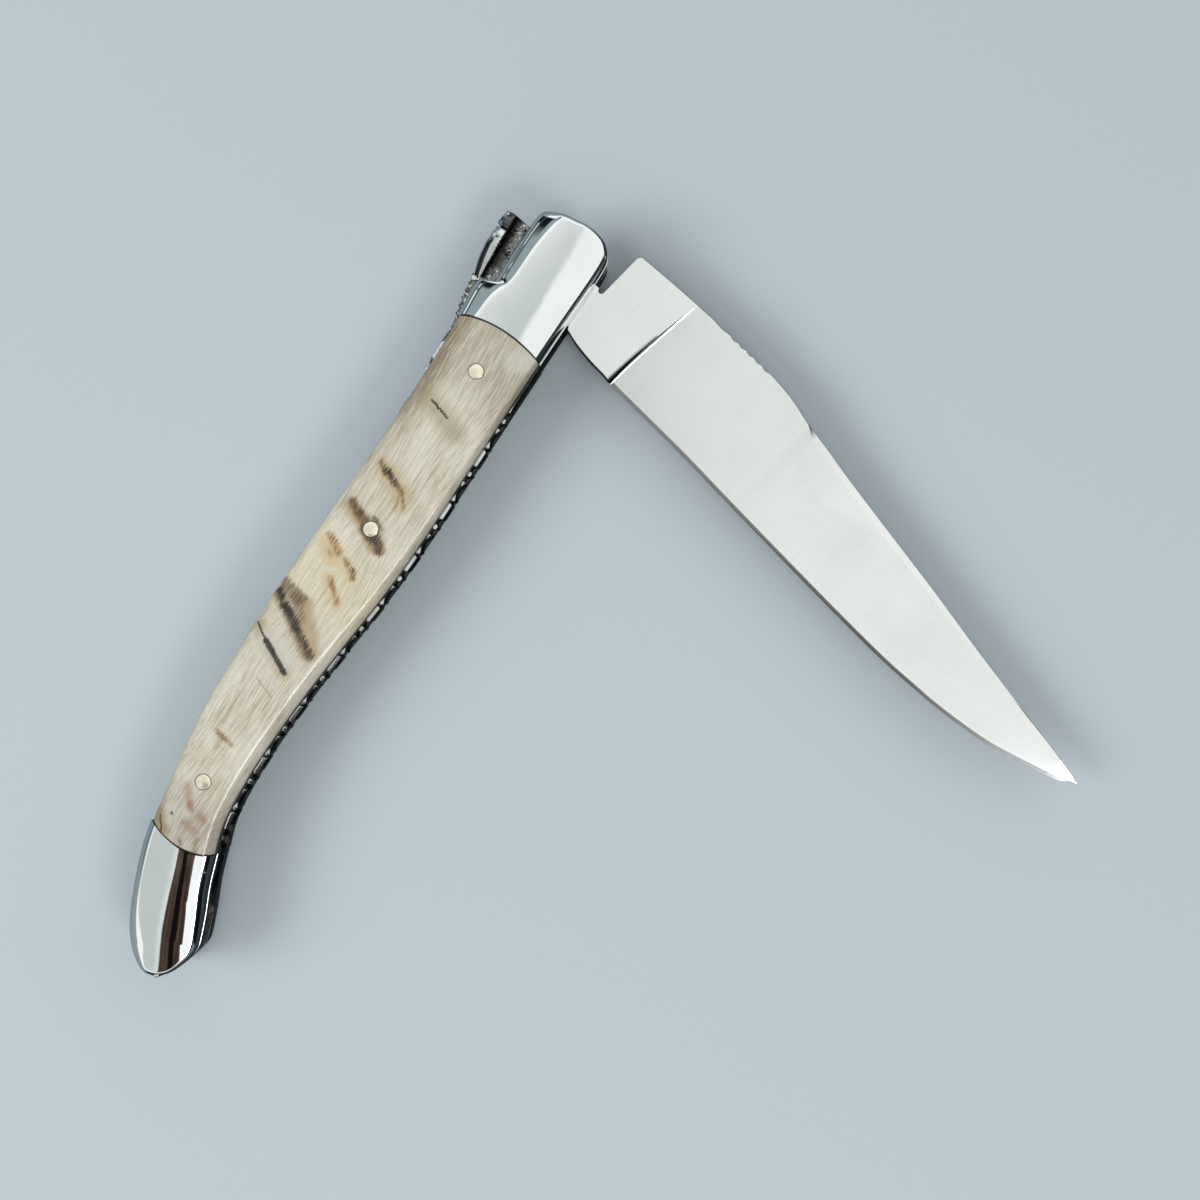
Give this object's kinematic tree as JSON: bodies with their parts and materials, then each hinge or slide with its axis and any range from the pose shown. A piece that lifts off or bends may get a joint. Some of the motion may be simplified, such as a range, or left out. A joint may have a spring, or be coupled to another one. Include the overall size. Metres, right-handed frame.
{
  "type": "folding pocket knife",
  "caption": "Slip-joint folding knife with one drop-pointed blade, back spring with an ornament, steel bolsters and horn scales.",
  "frame": {"origin": "on the blade's pivot axis, in the flat outer faces of the left bolster, scale and pivot pin, which the knife lies on", "axes": "+X forward along the handle, the way the open blade points; +Y toward the back spring; +Z along the pivot axis, from the left side to the right side"},
  "size_m": [0.1203, 0.1111, 0.0126],
  "materials": {
    "blade_steel": "fine satin, nearly mirror",
    "forged_steel": "dark forged skin with worn bright high spots",
    "polished_steel": "mirror polished",
    "liner_steel": "polished edges",
    "horn": "polished ram horn, cream with a fine lengthwise grain and a few dark streaks",
    "nickel_silver": "polished flush"
  },
  "bodies": {
    "handle": {"liner_right": "liner_steel", "liner_left": "liner_steel", "front_bolster_right": "polished_steel", "front_bolster_left": "polished_steel", "rear_bolster_right": "polished_steel", "rear_bolster_left": "polished_steel", "scale_right": "horn", "scale_left": "horn", "rivet_front_right": "nickel_silver", "rivet_middle_right": "nickel_silver", "rivet_rear_right": "nickel_silver", "rivet_front_left": "nickel_silver", "rivet_middle_left": "nickel_silver", "rivet_rear_left": "nickel_silver", "pivot_pin": "polished_steel", "spring_pin_middle": "liner_steel", "spring_pin_rear": "liner_steel"},
    "blade": {"blade": "blade_steel"},
    "spring": {"back_spring": "forged_steel", "spring_ornament": "polished_steel"}
  },
  "joints": [
    {"name": "blade_pivot", "type": "hinge", "parent": "handle", "child": "blade", "pos_m": [0, 0, 0.0063], "axis": [0, 0, 1], "range_deg": [-79.07, 100.93]},
    {"name": "spring_flex", "type": "hinge", "parent": "handle", "child": "spring", "pos_m": [-0.045, 0.00827, 0.0063], "axis": [0, 0, 1], "range_deg": [-2.67, 0], "stiffness_Nm_per_rad": 0.3, "deforming": ["back_spring"]}
  ]
}
